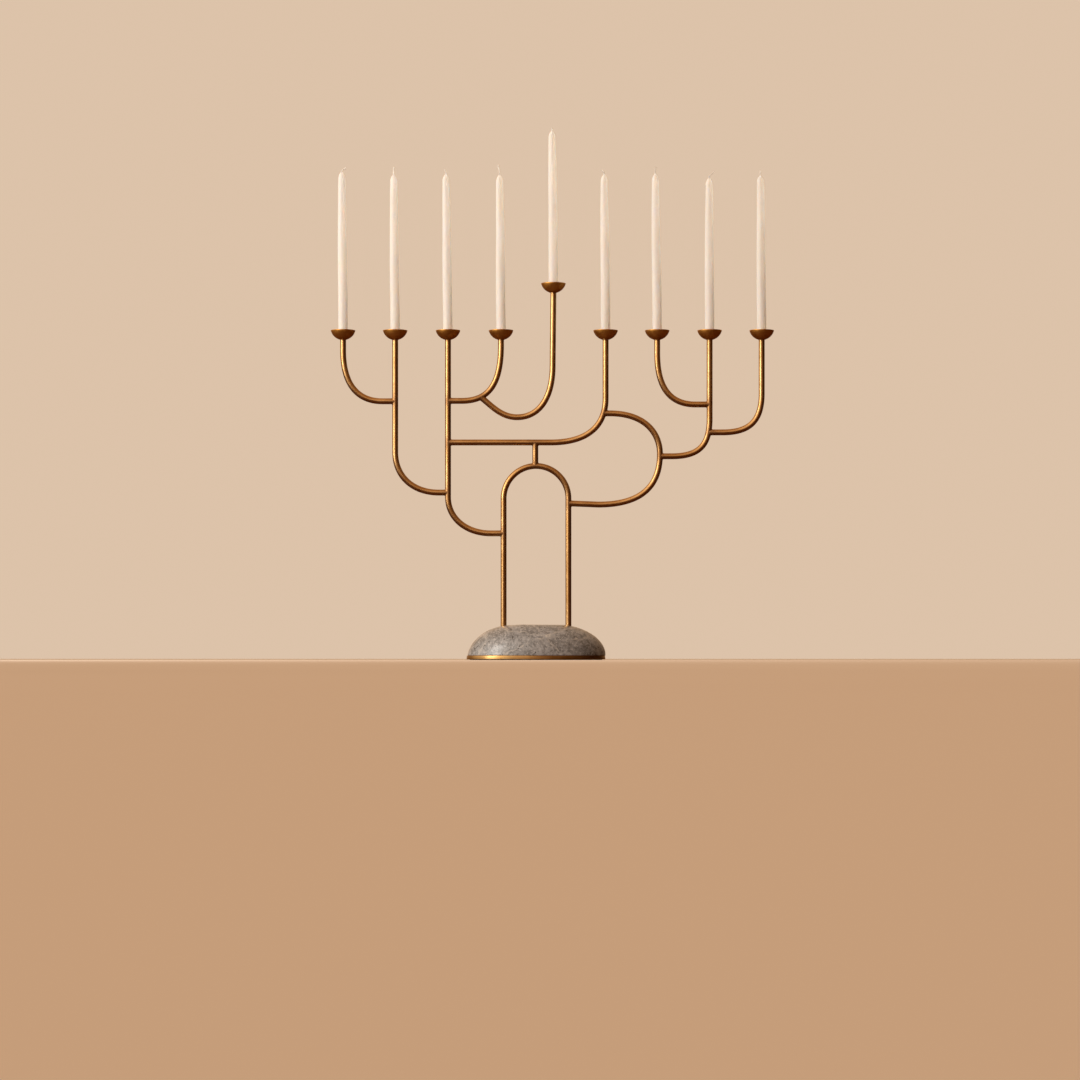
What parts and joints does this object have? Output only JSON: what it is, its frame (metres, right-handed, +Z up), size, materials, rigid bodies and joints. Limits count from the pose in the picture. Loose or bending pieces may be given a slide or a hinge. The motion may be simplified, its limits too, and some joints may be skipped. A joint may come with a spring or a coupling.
{
  "type": "menorah",
  "caption": "Hanukkah menorah of bent brass rods brazed in one plane, on an oval stone base, with small bowl cups and taper candles that lift out.",
  "frame": {"origin": "centre of the base's underside, on the surface that the menorah stands on", "axes": "+Z up along the candles, X along the row of cups with +X to the viewer's right, and the front faces -Y"},
  "size_m": [0.4434, 0.0834, 0.5321],
  "materials": {
    "rod_brass": "aged satin, drawn rod",
    "cup_bronze": "dark bronze patina, satin",
    "plate_brass": "polished edge",
    "sleeve_brass": "satin",
    "stone": "honed, satin, veined and pitted",
    "felt": "felt",
    "screw_steel": "plain zinc",
    "wax": "ivory wax, soft sheen, slightly translucent",
    "wick_cotton": "braided cotton, waxed"
  },
  "bodies": {
    "root": {"stone_base": "stone", "base_plate": "plate_brass", "felt_pad": "felt", "base_screw_left": "screw_steel", "base_screw_right": "screw_steel", "arch": "rod_brass", "strut": "rod_brass", "loop_branch": "rod_brass", "left_outer_branch": "rod_brass", "left_second_branch": "rod_brass", "left_main_branch": "rod_brass", "left_inner_branch": "rod_brass", "shamash_branch": "rod_brass", "crossbar_branch": "rod_brass", "right_inner_branch": "rod_brass", "right_main_branch": "rod_brass", "right_outer_branch": "rod_brass", "cup_1": "cup_bronze", "cup_2": "cup_bronze", "cup_3": "cup_bronze", "cup_4": "cup_bronze", "cup_5": "cup_bronze", "cup_6": "cup_bronze", "cup_7": "cup_bronze", "cup_8": "cup_bronze", "cup_9": "cup_bronze", "candle_sleeve_1": "sleeve_brass", "candle_sleeve_2": "sleeve_brass", "candle_sleeve_3": "sleeve_brass", "candle_sleeve_4": "sleeve_brass", "candle_sleeve_5": "sleeve_brass", "candle_sleeve_6": "sleeve_brass", "candle_sleeve_7": "sleeve_brass", "candle_sleeve_8": "sleeve_brass", "candle_sleeve_9": "sleeve_brass"},
    "lift_out_candle_1": {"candle_1": "wax", "wick_1": "wick_cotton"},
    "lift_out_candle_2": {"candle_2": "wax", "wick_2": "wick_cotton"},
    "lift_out_candle_3": {"candle_3": "wax", "wick_3": "wick_cotton"},
    "lift_out_candle_4": {"candle_4": "wax", "wick_4": "wick_cotton"},
    "lift_out_candle_5": {"candle_5": "wax", "wick_5": "wick_cotton"},
    "lift_out_candle_6": {"candle_6": "wax", "wick_6": "wick_cotton"},
    "lift_out_candle_7": {"candle_7": "wax", "wick_7": "wick_cotton"},
    "lift_out_candle_8": {"candle_8": "wax", "wick_8": "wick_cotton"},
    "lift_out_candle_9": {"candle_9": "wax", "wick_9": "wick_cotton"}
  },
  "joints": [
    {"name": "candle_1_lift", "type": "slide", "parent": "root", "child": "lift_out_candle_1", "axis": [0, 0, 1], "range_m": [0, 0.03]},
    {"name": "candle_2_lift", "type": "slide", "parent": "root", "child": "lift_out_candle_2", "axis": [0, 0, 1], "range_m": [0, 0.03]},
    {"name": "candle_3_lift", "type": "slide", "parent": "root", "child": "lift_out_candle_3", "axis": [0, 0, 1], "range_m": [0, 0.03]},
    {"name": "candle_4_lift", "type": "slide", "parent": "root", "child": "lift_out_candle_4", "axis": [0, 0, 1], "range_m": [0, 0.03]},
    {"name": "candle_5_lift", "type": "slide", "parent": "root", "child": "lift_out_candle_5", "axis": [0, 0, 1], "range_m": [0, 0.03]},
    {"name": "candle_6_lift", "type": "slide", "parent": "root", "child": "lift_out_candle_6", "axis": [0, 0, 1], "range_m": [0, 0.03]},
    {"name": "candle_7_lift", "type": "slide", "parent": "root", "child": "lift_out_candle_7", "axis": [0, 0, 1], "range_m": [0, 0.03]},
    {"name": "candle_8_lift", "type": "slide", "parent": "root", "child": "lift_out_candle_8", "axis": [0, 0, 1], "range_m": [0, 0.03]},
    {"name": "candle_9_lift", "type": "slide", "parent": "root", "child": "lift_out_candle_9", "axis": [0, 0, 1], "range_m": [0, 0.03]}
  ]
}
